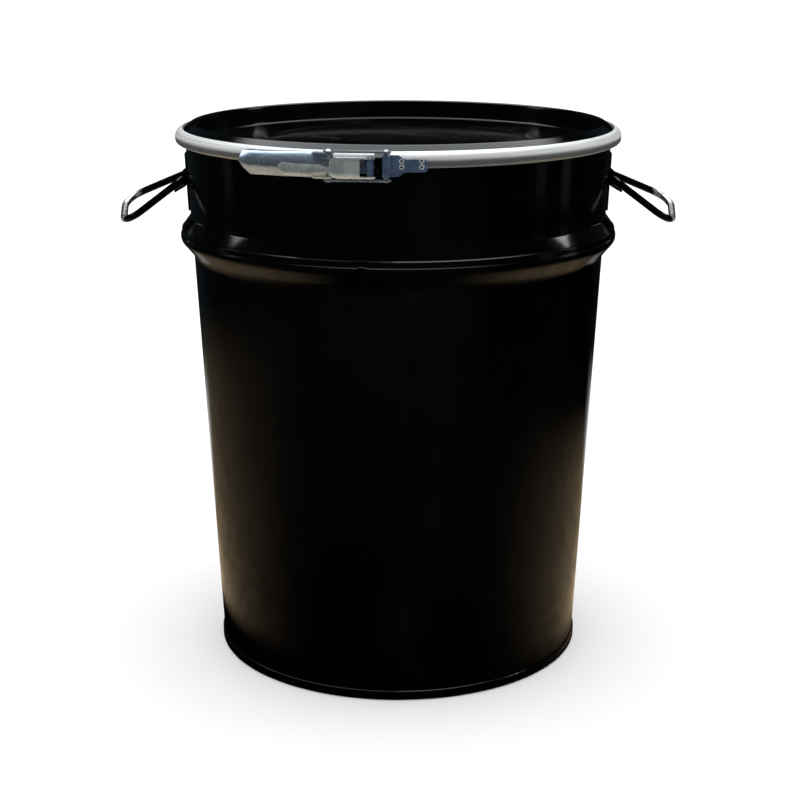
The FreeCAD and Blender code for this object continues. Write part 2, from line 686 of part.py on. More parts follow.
# ---- all the pieces ----------------------------------------------------------------------------
def make_nodes():
    handle = make_handle_right()
    bracket = make_bracket_right()
    rear, left, right = make_ring_bands()
    return {
        "drum_shell": make_drum_shell(),
        "bottom_end": make_bottom_end(),
        "bottom_seam_compound": make_seam_compound(),
        "handle_bracket_right": bracket,
        "handle_bracket_left": mirrored_x(bracket),
        "handle_right": handle,
        "handle_left": mirrored_x(handle),
        "lid": make_lid(),
        "lid_gasket": make_gasket(),
        "ring_band_rear": rear,
        "ring_band_left": left,
        "ring_band_right": right,
        "fulcrum_bracket": make_fulcrum_bracket(),
        "fulcrum_rivets": make_rivets(FULCRUM_RIVETS),
        "lever_pivot_pin": make_fulcrum_pin(),
        "hinge_leaf": make_hinge_leaf(),
        "hinge_leaf_rivets": make_rivets(LEAF_RIVETS),
        "hinge_leaf_pin": make_leaf_pin(),
        "lever_grip": make_lever_grip(),
        "lever_body": make_lever_body(),
        "link_plate_upper": make_link_plate(LINK_UPPER_Z),
        "link_plate_lower": make_link_plate(LINK_LOWER_Z),
        "link_lever_pin": make_link_lever_pin(),
        "link_end_rivets": make_link_end_rivets(),
    }


def main():
    os.makedirs("parts", exist_ok=True)
    for name, shape in make_nodes().items():
        shape.exportStep(os.path.join("parts", name + ".step"))
        box = shape.BoundBox
        print(name, len(shape.Solids), "solids", round(shape.Volume / 1000, 2), "cm3", "valid", shape.isValid(),
              [round(v, 1) for v in (box.XMin, box.YMin, box.ZMin, box.XMax, box.YMax, box.ZMax)])


main()
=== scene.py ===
import math

import bmesh
import bpy
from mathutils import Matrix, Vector


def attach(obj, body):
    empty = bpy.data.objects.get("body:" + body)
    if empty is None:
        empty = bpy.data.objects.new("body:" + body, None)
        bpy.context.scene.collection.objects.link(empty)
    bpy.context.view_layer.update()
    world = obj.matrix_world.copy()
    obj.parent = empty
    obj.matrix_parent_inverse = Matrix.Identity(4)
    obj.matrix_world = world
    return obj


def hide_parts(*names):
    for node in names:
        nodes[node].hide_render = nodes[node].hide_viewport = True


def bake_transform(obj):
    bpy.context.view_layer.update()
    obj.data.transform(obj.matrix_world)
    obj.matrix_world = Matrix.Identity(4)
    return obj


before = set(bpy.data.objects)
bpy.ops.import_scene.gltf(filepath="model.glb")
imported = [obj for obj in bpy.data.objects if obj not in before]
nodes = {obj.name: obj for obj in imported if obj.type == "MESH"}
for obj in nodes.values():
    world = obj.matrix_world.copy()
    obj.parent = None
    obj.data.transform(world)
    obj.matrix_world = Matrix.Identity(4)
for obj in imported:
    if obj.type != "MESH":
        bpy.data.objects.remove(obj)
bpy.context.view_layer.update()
MM = 0.001                                  # a millimetre in metres
ARC_STEP = 0.12                             # radians of bend between points of a section


# ---- sections ------------------------------------------------------------------------------------
def arc_points(begin, turn, centre, radius):
    """Points on an arc about centre, from the angle begin through the angle turn."""
    count = max(2, round(abs(turn) / ARC_STEP))
    points = []
    for i in range(count + 1):
        angle = begin + turn * i / count
        points.append((centre[0] + radius * math.cos(angle), centre[1] + radius * math.sin(angle)))
    return points


def rounded_path(corners):
    """Sampled path through corners given as (r, z, bend radius)."""
    path = [corners[0][:2]]
    for before, corner, after in zip(corners, corners[1:], corners[2:]):
        first = math.atan2(corner[1] - before[1], corner[0] - before[0])
        second = math.atan2(after[1] - corner[1], after[0] - corner[0])
        turn = (second - first + math.pi) % (2 * math.pi) - math.pi
        radius = corner[2]
        reach = radius * math.tan(abs(turn) / 2)
        if reach < 1e-7:
            path.append(corner[:2])
            continue
        side = 1 if turn > 0 else -1
        start = (corner[0] - reach * math.cos(first), corner[1] - reach * math.sin(first))
        centre = (start[0] - side * radius * math.sin(first), start[1] + side * radius * math.cos(first))
        begin = math.atan2(start[1] - centre[1], start[0] - centre[0])
        path.extend(arc_points(begin, turn, centre, radius))
    path.append(corners[-1][:2])
    cleaned = [path[0]]
    for point in path[1:]:
        if math.dist(point, cleaned[-1]) > 1e-6:
            cleaned.append(point)
    return cleaned


def left_of(path, thickness):
    """The path moved to its left by thickness."""
    moved = []
    for i, point in enumerate(path):
        before, after = path[max(i - 1, 0)], path[min(i + 1, len(path) - 1)]
        length = math.dist(before, after)
        nx, nz = -(after[1] - before[1]) / length, (after[0] - before[0]) / length
        moved.append((point[0] + nx * thickness, point[1] + nz * thickness))
    return moved


def sheet_loop(corners, thickness):
    """Closed outline of bent sheet that lies to the left of the path through corners."""
    path = rounded_path(corners)
    return path + left_of(path, thickness)[::-1]


def in_metres(corners):
    """Corners given in mm, in metres."""
    return [tuple(value * MM for value in corner) for corner in corners]


def split_long(loop, longest):
    """Adds points so that no side of the closed loop is longer than longest."""
    fine = []
    for a, b in zip(loop, loop[1:] + loop[:1]):
        count = max(1, math.ceil(math.dist(a, b) / longest))
        for i in range(count):
            fine.append((a[0] + (b[0] - a[0]) * i / count, a[1] + (b[1] - a[1]) * i / count))
    return fine


def new_piece(name, verts, faces, degrees=35.0):
    """Mesh object in the scene, with its faces turned outwards and its gentle edges smoothed."""
    mesh = bpy.data.meshes.new(name)
    mesh.from_pydata(verts, [], faces)
    mesh.update()
    piece = bpy.data.objects.new(name, mesh)
    bpy.context.scene.collection.objects.link(piece)
    fix_normals(mesh)
    smooth(piece, degrees)
    return piece


def lathe(name, loop, angles, closed=True, change=None):
    """Piece swept about Z through the angles, from a closed section of (r, z)."""
    verts = []
    faces = []
    count = len(loop)
    for angle in angles:
        for r, z in loop:
            if change:
                r, z = change(r, z, angle)
            verts.append((r * math.cos(angle), r * math.sin(angle), z))
    turns = len(angles) if closed else len(angles) - 1
    for i in range(turns):
        j = (i + 1) % len(angles)
        for k in range(count):
            m = (k + 1) % count
            faces.append((i * count + k, i * count + m, j * count + m, j * count + k))
    if not closed:
        faces.append(tuple(range(count - 1, -1, -1)))
        last = (len(angles) - 1) * count
        faces.append(tuple(last + k for k in range(count)))
    return new_piece(name, verts, faces)


def fix_normals(mesh):
    """Joins points that coincide, then turns every face outwards."""
    work = bmesh.new()
    work.from_mesh(mesh)
    bmesh.ops.remove_doubles(work, verts=work.verts, dist=1e-7)
    bmesh.ops.recalc_face_normals(work, faces=work.faces)
    work.to_mesh(mesh)
    work.free()


def smooth(piece, degrees):
    """Smooth shading that keeps edges sharper than the angle."""
    piece.data.shade_smooth()
    piece.data.set_sharp_from_angle(angle=math.radians(degrees))


def steps(start, end, step):
    """Even values from start to end, about step apart."""
    count = max(2, round(abs(end - start) / step))
    return [start + (end - start) * i / count for i in range(count + 1)]


def even_angles(start, end, step):
    """The same in radians, from degrees."""
    return [math.radians(angle) for angle in steps(start, end, step)]


def smoothstep(t):
    """Eases from 0 to 1 as t goes from 0 to 1, and stays level outside."""
    t = min(max(t, 0.0), 1.0)
    return t * t * (3 - 2 * t)


# ---- node helpers --------------------------------------------------------------------------------
class Nodes:
    """A node tree in the making: short calls that add and join nodes."""

    def __init__(self, tree):
        self.tree = tree
        self.places = self.node("ShaderNodeTexCoord").outputs
        self.coordinates = self.places["Object"]

    def node(self, kind, **settings):
        made = self.tree.nodes.new(kind)
        for key, value in settings.items():
            setattr(made, key, value)
        return made

    def put(self, socket, value):
        if isinstance(value, bpy.types.NodeSocket):
            self.tree.links.new(value, socket)
        else:
            socket.default_value = value

    def math(self, operation, a, b=0.0):
        made = self.node("ShaderNodeMath", operation=operation)
        for socket, value in zip(made.inputs, (a, b)):
            self.put(socket, value)
        return made.outputs[0]

    def plus(self, a, b):
        return self.math("ADD", a, b)

    def minus(self, a, b):
        return self.math("SUBTRACT", a, b)

    def times(self, a, b):
        return self.math("MULTIPLY", a, b)

    def absolute(self, a):
        return self.math("ABSOLUTE", a)

    def reach(self, a, b):
        """Length of the level vector (a, b)."""
        return self.math("SQRT", self.plus(self.times(a, a), self.times(b, b)))

    def vector(self, operation, a, b):
        made = self.node("ShaderNodeVectorMath", operation=operation)
        self.put(made.inputs[0], a)
        self.put(made.inputs[1], b)
        return made.outputs[0]

    def scaled(self, x, y, z):
        return self.vector("MULTIPLY", self.coordinates, (x, y, z))

    def split(self, source=None):
        made = self.node("ShaderNodeSeparateXYZ")
        self.put(made.inputs[0], source or self.coordinates)
        return made.outputs

    def join(self, x, y, z):
        made = self.node("ShaderNodeCombineXYZ")
        for socket, value in zip(made.inputs, (x, y, z)):
            self.put(socket, value)
        return made.outputs[0]

    def noise(self, source, scale=1.0, detail=3.0, rough=0.5, distortion=0.0):
        made = self.node("ShaderNodeTexNoise")
        self.put(made.inputs["Vector"], source)
        made.inputs["Scale"].default_value = scale
        made.inputs["Detail"].default_value = detail
        made.inputs["Roughness"].default_value = rough
        made.inputs["Distortion"].default_value = distortion
        return made.outputs["Fac"]

    def cells(self, source, scale):
        made = self.node("ShaderNodeTexVoronoi")
        self.put(made.inputs["Vector"], source)
        made.inputs["Scale"].default_value = scale
        return made.outputs["Distance"]

    def ramp(self, value, low, high, to_low=0.0, to_high=1.0):
        """Eased change from to_low to to_high while the value goes from low to high."""
        made = self.node("ShaderNodeMapRange", interpolation_type="SMOOTHSTEP", clamp=True)
        for socket, number in zip(made.inputs, (value, low, high, to_low, to_high)):
            self.put(socket, number)
        return made.outputs[0]

    def mix(self, share, a, b):
        made = self.node("ShaderNodeMix", data_type="RGBA")
        self.put(made.inputs[0], share)
        self.put(made.inputs[6], a)
        self.put(made.inputs[7], b)
        return made.outputs[2]

    def bump(self, height, strength, distance, normal=None):
        made = self.node("ShaderNodeBump")
        made.inputs["Strength"].default_value = strength
        made.inputs["Distance"].default_value = distance
        self.put(made.inputs["Height"], height)
        if normal:
            self.put(made.inputs["Normal"], normal)
        return made.outputs["Normal"]

    def tinted(self, level, colour):
        """The colour, multiplied by the level."""
        return self.vector("MULTIPLY", self.join(level, level, level), colour)

    def choose(self, share, a, b):
        """Shader a, or b where the share is 1."""
        made = self.node("ShaderNodeMixShader")
        for socket, value in zip(made.inputs, (share, a, b)):
            self.put(socket, value)
        return made.outputs[0]

    def mirrored(self):
        """1 for rays that come off a glossy surface."""
        return self.node("ShaderNodeLightPath").outputs["Is Glossy Ray"]


class Shader(Nodes):
    """The same, for a new material."""

    def __init__(self, name):
        self.material = bpy.data.materials.new(name)
        self.material.use_nodes = True
        super().__init__(self.material.node_tree)
        self.bsdf = self.tree.nodes["Principled BSDF"]

    def finish(self, **sockets):
        for name, value in sockets.items():
            self.put(self.bsdf.inputs[name.replace("_", " ")], value)
        return self.material


def grey(value):
    """Opaque grey."""
    return (value, value, value, 1)


# ---- materials -----------------------------------------------------------------------------------
def enamel_material(name, orange_peel=0.05):
    """Gloss black stoving enamel: almost no body colour, faint orange peel and slow waves."""
    m = Shader(name)
    cloud = m.noise(m.scaled(9, 9, 4), 1.0, 5.0, 0.6, 0.6)
    wipe = m.noise(m.scaled(34, 34, 8), 1.0, 4.0, 0.55, 1.2)
    film = m.times(m.ramp(cloud, 0.42, 0.72), m.ramp(wipe, 0.3, 0.75, 0.35, 1.0))
    base = m.mix(film, (0.0003, 0.0003, 0.0004, 1), (0.0016, 0.0015, 0.0012, 1))
    rough = m.ramp(film, 0.0, 1.0, 0.10, 0.20)
    normal = m.bump(m.noise(m.coordinates, 420.0, 2.0, 0.5), orange_peel, 0.0004)
    normal = m.bump(m.noise(m.scaled(14, 14, 6), 1.0, 1.0, 0.4), 0.10, 0.002, normal)
    return m.finish(Base_Color=base, Roughness=rough, Normal=normal, Specular_IOR_Level=0.5)


FLOOR_REFLECTION_BEIGE = (0.82, 0.73, 0.58, 1)          # painted reflection of the floor, dull beige, along the ring's lower edge
UNDER_LATCH_REFLECTION = (0.84, 0.77, 0.62, 1)         # the same painted floor reflection under the latch
BRIGHT_SCRATCH = (0.40, 0.41, 0.42, 1)
PALE_DUST = (0.40, 0.39, 0.37, 1)
LID_FLAT_TOP = 0.5170                       # metres; the flat's marks fade out above this height
LID_SCRATCHES = (                           # start, end and bow, in metres on the lid's flat
    ((-0.038, 0.052), (0.024, 0.016), 0.006),
    ((-0.098, 0.014), (-0.054, -0.015), 0.004),
    ((-0.066, -0.022), (-0.054, -0.015), 0.002),
    ((0.028, 0.014), (0.066, -0.008), 0.004),
    ((0.058, 0.040), (0.134, 0.018), 0.003),
    ((0.098, -0.014), (0.126, -0.018), -0.002),
)


def scratch(m, x, y, start, end, bow):
    """Mask of one thin bowed scratch between two points of a level face."""
    length = math.dist(start, end)
    along_x = (end[0] - start[0]) / length
    along_y = (end[1] - start[1]) / length
    off_x = m.minus(x, start[0])
    off_y = m.minus(y, start[1])
    along = m.plus(m.times(off_x, along_x / length), m.times(off_y, along_y / length))
    aside = m.minus(m.times(off_y, along_x), m.times(off_x, along_y))
    arch = m.times(m.times(along, m.minus(1.0, along)), 4.0 * bow)
    gap = m.absolute(m.minus(aside, arch))
    window = m.times(m.ramp(along, 0.0, 0.06), m.ramp(along, 0.90, 1.0, 1.0, 0.0))
    return m.times(m.ramp(gap, 0.0003, 0.0008, 1.0, 0.0), window)


def lid_material():
    """The same enamel with a thin dust film, and scratches, scuffs and pale specks on the flat."""
    m = Shader("lid_enamel")
    x, y, z = m.split()
    cloud = m.noise(m.coordinates, 7.0, 6.0, 0.65, 0.8)
    film = m.ramp(cloud, 0.44, 0.72)
    speck_gate = m.ramp(m.noise(m.coordinates, 14.0, 2.0), 0.56, 0.66)
    speck = m.times(m.ramp(m.cells(m.coordinates, 150.0), 0.06, 0.11, 1.0, 0.0), speck_gate)
    breaks = m.ramp(m.noise(m.coordinates, 95.0, 4.0, 0.7), 0.42, 0.62, 0.08, 1.0)
    scratched = 0.0
    for start, end, bow in LID_SCRATCHES:
        scratched = m.plus(scratched, scratch(m, x, y, start, end, bow))
    scratched = m.times(m.math("MINIMUM", scratched, 1.0), breaks)
    facing = m.split(m.places["Normal"])[2]
    flat = m.times(m.ramp(z, LID_FLAT_TOP, LID_FLAT_TOP + 0.0015, 1.0, 0.0), m.ramp(facing, 0.3, 0.6))
    base = m.mix(film, (0.0004, 0.0005, 0.0006, 1), (0.0026, 0.0030, 0.0032, 1))
    base = m.mix(m.times(m.times(speck, flat), 0.6), base, PALE_DUST)
    base = m.mix(m.times(m.times(scratched, flat), 0.6), base, BRIGHT_SCRATCH)
    rough = m.plus(m.ramp(film, 0.0, 1.0, 0.08, 0.16), m.times(speck, 0.3))
    normal = m.bump(m.noise(m.coordinates, 420.0, 2.0, 0.5), 0.05, 0.0004)
    normal = m.bump(m.noise(m.coordinates, 9.0, 1.0, 0.4), 0.08, 0.002, normal)
    return m.finish(Base_Color=base, Roughness=rough, Normal=normal, Specular_IOR_Level=0.5)


def zinc_ring_material():
    """Bright zinc strip with rolling streaks round the ring, duller and painted beige along its lower
    edge, a painted reflection of the floor.
    """
    m = Shader("zinc_ring")
    x, y, z = m.split()
    radius = m.reach(x, y)
    around = m.join(
        m.plus(m.times(radius, 900.0), m.times(x, 9.0)),
        m.plus(m.times(z, 900.0), m.times(y, 9.0)),
        m.times(m.plus(x, y), 7.0))
    streak = m.noise(around, 1.0, 3.0, 0.6)
    patch = m.noise(m.coordinates, 45.0, 4.0, 0.6)
    base = m.mix(m.ramp(streak, 0.3, 0.7), (0.66, 0.67, 0.67, 1), (0.88, 0.89, 0.89, 1))
    base = m.mix(m.times(m.ramp(patch, 0.52, 0.75), 0.3), base, (0.50, 0.52, 0.54, 1))
    # painted reflection of the floor: the lower edge is made beige and partly non-metallic
    floor_reflection = m.ramp(z, 0.5165, 0.5145)
    base = m.mix(m.times(floor_reflection, 0.7), base, FLOOR_REFLECTION_BEIGE)
    rough = m.plus(m.ramp(streak, 0.25, 0.75, 0.32, 0.42), m.ramp(patch, 0.5, 0.8, 0.0, 0.10))
    # painted highlight: the top is made partly non-metallic as well as rougher, so it shows pale
    crown = m.ramp(z, 0.5195, 0.5235)
    rough = m.plus(rough, m.times(crown, 0.13))
    dull = m.plus(m.times(floor_reflection, 0.16), m.times(crown, 0.42))
    metal = m.minus(0.965, dull)
    normal = m.bump(streak, 0.15, 0.0002)
    return m.finish(Base_Color=base, Metallic=metal, Roughness=rough, Normal=normal)


def zinc_latch_material(name, tint, body, foot_z=0.0):
    """Plated pressing: passivation that varies a little, fine scratches, and a painted reflection of the
    floor, dull beige, underneath.
    """
    m = Shader(name)
    z = m.split()[2]
    patch = m.noise(m.coordinates, 60.0, 5.0, 0.6, 0.3)
    scratch = m.noise(m.vector("MULTIPLY", m.coordinates, (90, 90, 900)), 1.0, 2.0, 0.5)
    pale = tuple(0.90 * t for t in tint) + (1,)
    deep = tuple(0.48 * t for t in tint) + (1,)
    base = m.mix(m.ramp(patch, 0.35, 0.7), pale, deep)
    # painted reflection of the floor below foot_z: beige and partly non-metallic
    floor_reflection = m.ramp(z, foot_z + 0.002, foot_z - 0.002)
    base = m.mix(m.times(floor_reflection, 0.75), base, UNDER_LATCH_REFLECTION)
    rough = m.plus(m.ramp(patch, 0.3, 0.7, 0.16, 0.28), m.times(scratch, 0.12))
    metal = m.minus(1.0 - body, m.times(floor_reflection, 0.22))
    normal = m.bump(scratch, 0.04, 0.0001)
    normal = m.bump(m.noise(m.coordinates, 90.0, 2.0), 0.03, 0.0004, normal)
    return m.finish(Base_Color=base, Metallic=metal, Roughness=rough, Normal=normal)


def rivet_material():
    """Bright tubular rivets with a near-black disc painted down each hole, a painted shade: the leaf has
    two rows of two.
    """
    m = Shader("zinc_rivets")
    x, _, z = m.split()
    across = m.minus(m.absolute(m.minus(x, LEAF_RIVET_MIDDLE[0])), LEAF_RIVET_HALF[0])
    up = m.minus(m.absolute(m.minus(z, LEAF_RIVET_MIDDLE[1])), LEAF_RIVET_HALF[1])
    reach = m.reach(across, up)
    # painted shade inside each rivet's hole
    hole = m.ramp(reach, RIVET_HOLE_R, RIVET_HOLE_R + 0.0003, 1.0, 0.0)
    base = m.mix(hole, (0.90, 0.94, 1.0, 1), (0.004, 0.004, 0.005, 1))
    metal = m.minus(0.75, m.times(hole, 0.75))
    rough = m.ramp(hole, 0.0, 1.0, 0.30, 0.90)
    return m.finish(Base_Color=base, Metallic=metal, Roughness=rough)


def wire_material():
    """Black wire, painted bright steel at the grip ends: partly rubbed-through coating, partly a painted
    highlight.
    """
    m = Shader("handle_wire")
    x, y, _ = m.split()
    grip_reach = m.plus(m.absolute(x), m.times(m.noise(m.coordinates, 120.0, 4.0, 0.7), 0.014))
    # bright patch at the grip ends: partly rubbed-through coating, partly a painted highlight
    wear_and_highlight = m.times(m.ramp(grip_reach, 0.2640, 0.2720), m.ramp(y, -0.030, -0.020))
    wear_and_highlight = m.times(wear_and_highlight, m.ramp(m.noise(m.coordinates, 420.0, 3.0, 0.6), 0.30, 0.42))
    base = m.mix(wear_and_highlight, (0.001, 0.001, 0.001, 1), (0.74, 0.74, 0.74, 1))
    rough = m.ramp(wear_and_highlight, 0.0, 1.0, 0.10, 0.26)
    normal = m.bump(m.noise(m.coordinates, 700.0, 2.0), 0.10, 0.0003)
    return m.finish(Base_Color=base, Metallic=wear_and_highlight, Roughness=rough, Normal=normal)


def rubber_material(name, level):
    """Dull rubber or sealing compound of about that grey level."""
    m = Shader(name)
    grain = m.noise(m.coordinates, 900.0, 3.0)
    base = m.mix(grain, grey(level * 0.7), grey(level * 1.3))
    rough = m.ramp(grain, 0.2, 0.8, 0.6, 0.85)
    return m.finish(Base_Color=base, Roughness=rough, Normal=m.bump(grain, 0.2, 0.0003))


def give(piece, material):
    """Makes the material the piece's only one."""
    piece.data.materials.clear()
    piece.data.materials.append(material)


# ---- drum shell ----------------------------------------------------------------------------------
SHEET = 1.0 * MM
WALL_FOOT_R = 182.8                         # mm, of the wall's line carried down to the floor
WALL_TAPER = 0.0488                         # mm outwards for each mm up
SEAM_ANGLE = math.radians(261.1)            # the body's upright weld, left of the latch
SEAM_R = 0.21                               # radius at which lengths round the seam are measured, m
SEAM_RISE_BEFORE = 4.0 * MM                 # how far before the weld the bead's pinch starts
SEAM_FALL_AFTER = 9.0 * MM                  # and how far after it the pinch ends
SEAM_GROOVE_HALF = 1.1 * MM
SEAM_GROOVE_DEPTH = 0.22 * MM
SEAM_LAP_HEIGHT = 0.10 * MM                 # step where one edge of the sheet laps the other
SEAM_LAP_WIDTH = 6.0 * MM
PINCH_IN = 0.45 * MM
PINCH_UP = 1.1 * MM
BEAD_FOOT_Z = 0.404                         # metres
BEAD_TOP_Z = 0.440


def wall_radius(z):
    """Radius of the tapered wall's line at a height, both in mm."""
    return WALL_FOOT_R + WALL_TAPER * z


def shell_corners():
    """Tapered wall, rolled bead, near-upright neck and the curl at the mouth."""
    return in_metres([
        (wall_radius(2.2), 2.2, 0),
        (wall_radius(405.7), 405.7, 13.0),
        (215.1, 420.6, 7.0),
        (215.1, 425.5, 0.7),
        (214.1, 426.5, 0.7),
        (213.8, 431.4, 0.8),
        (212.6, 432.5, 0.9),
        (204.9, 443.0, 4.5),
        (207.98, 520.3, 2.2),
        (212.38, 520.3, 2.2),
        (212.38, 515.9, 2.2),
        (209.48, 515.9, 0),
    ])


def seam_change(r, z, angle):
    """Shallow weld groove down the body, and the bead's pinch where it crosses the weld."""
    along = (angle - SEAM_ANGLE) * SEAM_R
    lap = 0.0
    if along < 0:
        rise = smoothstep(1 + along / SEAM_RISE_BEFORE)
    else:
        rise = 1 - smoothstep(along / SEAM_FALL_AFTER)
    if along > 0:
        lap = SEAM_LAP_HEIGHT * (1 - smoothstep(along / SEAM_LAP_WIDTH))
    on_bead = smoothstep((z - BEAD_FOOT_Z) / 0.012) * (1 - smoothstep((z - BEAD_TOP_Z) / 0.010))
    groove = math.exp(-(along / SEAM_GROOVE_HALF) ** 2)
    inward = SEAM_GROOVE_DEPTH * groove + lap + PINCH_IN * rise * on_bead
    in_body = smoothstep((z - 0.010) / 0.01)
    return r - inward * in_body, z + PINCH_UP * rise * on_bead


def shell_angles():
    """Angles once round the shell, close together at the weld."""
    seam = math.degrees(SEAM_ANGLE)
    fine_from, fine_to = seam - 2.4, seam + 4.0
    angles = []
    angle = fine_from
    while angle < fine_from + 360.0 - 0.01:
        angles.append(math.radians(angle))
        angle += 0.12 if angle < fine_to else 1.25
    return angles


def build_shell():
    """Body with its bead, weld and curl."""
    loop = split_long(sheet_loop(shell_corners(), SHEET), 12 * MM)
    shell = lathe("body_shell", loop, shell_angles(), change=seam_change)
    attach(shell, "drum")
    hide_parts("drum_shell")
    give(shell, enamel_material("body_enamel"))


# ---- lid -----------------------------------------------------------------------------------------
def lid_corners():
    """Rim over the curl, raised crest, side wall and the sunken floor, rim first."""
    return in_metres([
        (215.4, 520.6, 0),
        (215.4, 523.7, 1.6),
        (213.9, 524.2, 2.5),
        (202.0, 532.9, 3.6),
        (198.8, 532.9, 3.0),
        (193.9, 514.5, 2.0),
        (130.5, 514.5, 30.0),
        (125.5, 515.7, 30.0),
        (0.0, 515.7, 0),
    ])


def build_lid():
    """Lid pressing."""
    loop = split_long(sheet_loop(lid_corners(), SHEET), 10 * MM)
    loop = [(max(r, 0.0), z) for r, z in loop]
    top = lathe("lid_pressing", loop, even_angles(0, 360, 1.25)[:-1])
    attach(top, "lid")
    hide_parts("lid")
    give(top, lid_material())


# ---- closing ring --------------------------------------------------------------------------------
RING_SHEET = 1.2 * MM
RING_PART_LEFT = 264.54                     # degrees; where each half ends at the latch
RING_PART_RIGHT = 268.16


def build_ring():
    """One band in two halves that part at the rear."""
    corners = in_metres([
        (212.4, 513.9, 0), (217.5, 515.2, 3.6), (217.5, 526.0, 7.5), (210.7, 528.4, 0)])
    loop = sheet_loop(corners, RING_SHEET)
    zinc = zinc_ring_material()
    halves = (
        ("ring_half_left", 90.0, RING_PART_LEFT, "ring_left", ("ring_band_rear", "ring_band_left")),
        ("ring_half_right", RING_PART_RIGHT - 360.0, 90.0, "ring_right", ("ring_band_right",)),
    )
    for name, start, end, body, stands_for in halves:
        half = lathe(name, loop, even_angles(start, end, 0.75), closed=False)
        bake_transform(half)
        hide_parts(*stands_for)
        give(half, zinc)


# ---- lever ---------------------------------------------------------------------------------------
# Lengths in this section are in mm, except where a comment says metres.
LEVER_WEB = ((-33.0, -225.0), (-84.0, -215.0), (-135.0, -195.0))   # outer face, in plan
LINK_PIN = (-60.0, -216.5)                  # in plan
PIVOT_PIN = (-24.0, -222.6)
PIN_HOLE_R = 2.15
CUTTER_LENGTH = 50.0                        # of the cylinders that cut the pin holes
LEAF_RIVET_MIDDLE = (0.01155, 0.51845)      # x and z in metres, between the hinge leaf's four rivets
LEAF_RIVET_HALF = (0.00865, 0.00255)        # and from there to the rivets, in metres
RIVET_HOLE_R = 0.0012                       # metres; of the painted shade in each rivet's hole
LEVER_SHEET = 1.3
LEVER_SMOOTH_DEGREES = 40.0
LEVER_TIP_X = -139.5
LEVER_NECK_X = -57.0                        # where the grip's channel ends inside the palm's
LEVER_LOW_Z = 506.0
LEVER_HIGH_Z = 528.0
RING_CLEAR_R = 218.3                        # the channel's lips stop at this radius round the drum
GRIP_DEPTH = 22.0                           # or this far in from the web, where that comes first
GRIP_EAR = (-70.0, -214.0)                  # where the grip's ears start, in plan
GRIP_EAR_HALF = 4.6
PRESSING_START_X = -104.0
PALM_END_X = -33.0
BODY_LOW_Z = 506.9                          # of the slim part of the outer pressing
BODY_HIGH_Z = 523.2
BODY_DEPTH = 7.0
PALM_LOW_Z = 506.6                          # of its palm, beside the pivot
PALM_HIGH_Z = 524.6
PALM_EAR = (-50.0, -220.6)
PALM_EAR_HALF = 4.4
WAIST_X = -61.0                             # where the slim part swells into the palm


def circle_through(a, b, c):
    """Centre and radius of the circle through three points of the plan."""
    ax, ay, bx, by, cx, cy = *a, *b, *c
    d = 2 * (ax * (by - cy) + bx * (cy - ay) + cx * (ay - by))
    a2, b2, c2 = ax * ax + ay * ay, bx * bx + by * by, cx * cx + cy * cy
    x = (a2 * (by - cy) + b2 * (cy - ay) + c2 * (ay - by)) / d
    y = (a2 * (cx - bx) + b2 * (ax - cx) + c2 * (bx - ax)) / d
    return (x, y), math.dist((x, y), a)


LEVER_CENTRE, LEVER_RADIUS = circle_through(*LEVER_WEB)


def ring_side_radius(angle):
    """Distance from the lever's centre, along the angle, to the clearance circle round the ring."""
    ux, uy = math.cos(angle), math.sin(angle)
    along = LEVER_CENTRE[0] * ux + LEVER_CENTRE[1] * uy
    inside = LEVER_CENTRE[0] ** 2 + LEVER_CENTRE[1] ** 2 - RING_CLEAR_R ** 2
    return -along + math.sqrt(along * along - inside)


def lever_angle(x):
    """Bearing, from the lever's centre of curvature, of the place on its web at x."""
    return math.radians(270.0) + math.asin((x - LEVER_CENTRE[0]) / LEVER_RADIUS)


def channel_section(inner_r, outer_r, low, high, depth, squareness):
    """Closed outline of a channel with a rounded web: depth of the rounding, and how square it is."""
    web_steps = 22
    middle, half = (low + high) / 2, (high - low) / 2
    power = 2.0 / squareness

    def web(radius_r, radius_z):
        """Rounded end, from the upper lip to the lower one."""
        points = []
        for i in range(web_steps + 1):
            t = math.pi / 2 - math.pi * i / web_steps
            c, w = math.cos(t), math.sin(t)
            points.append((outer_r - depth + math.copysign(abs(c) ** power, c) * radius_r,
                           middle + math.copysign(abs(w) ** power, w) * radius_z))
        return points

    outside = [(inner_r, high)] + web(depth, half) + [(inner_r, low)]
    rounded = web(depth - LEVER_SHEET, half - LEVER_SHEET)
    inside = [(inner_r, high - LEVER_SHEET)] + rounded + [(inner_r, low + LEVER_SHEET)]
    return outside + inside[::-1]


def sweep_lever(name, stations, section_at):
    """Mesh through one closed section per station of x along the lever's curve."""
    verts = []
    faces = []
    for x in stations:
        angle = lever_angle(x)
        for r, z in section_at(x):
            verts.append(((LEVER_CENTRE[0] + r * math.cos(angle)) * MM,
                          (LEVER_CENTRE[1] + r * math.sin(angle)) * MM, z * MM))
    count = len(verts) // len(stations)
    for i in range(len(stations) - 1):
        for k in range(count):
            m = (k + 1) % count
            faces.append((i * count + k, i * count + m, (i + 1) * count + m, (i + 1) * count + k))
    half = count // 2
    for base in (0, (len(stations) - 1) * count):
        for k in range(half - 1):
            faces.append((base + k, base + k + 1, base + count - 2 - k, base + count - 1 - k))
    return new_piece(name, verts, faces, LEVER_SMOOTH_DEGREES)


def grip_section(x):
    """Grip's channel at x: a little lower towards the tip, whose lower corner is cut off."""
    along = (x - LEVER_TIP_X) / (LEVER_NECK_X - LEVER_TIP_X)
    high = LEVER_HIGH_Z - 1.6 * (1 - smoothstep(along * 1.3))
    low = LEVER_LOW_Z + 5.5 * max(0.0, 1 - (x - LEVER_TIP_X) / 6.5)
    inner = max(ring_side_radius(lever_angle(x)), LEVER_RADIUS - GRIP_DEPTH)
    return channel_section(inner, LEVER_RADIUS, low, high, 7.5, 1.15)


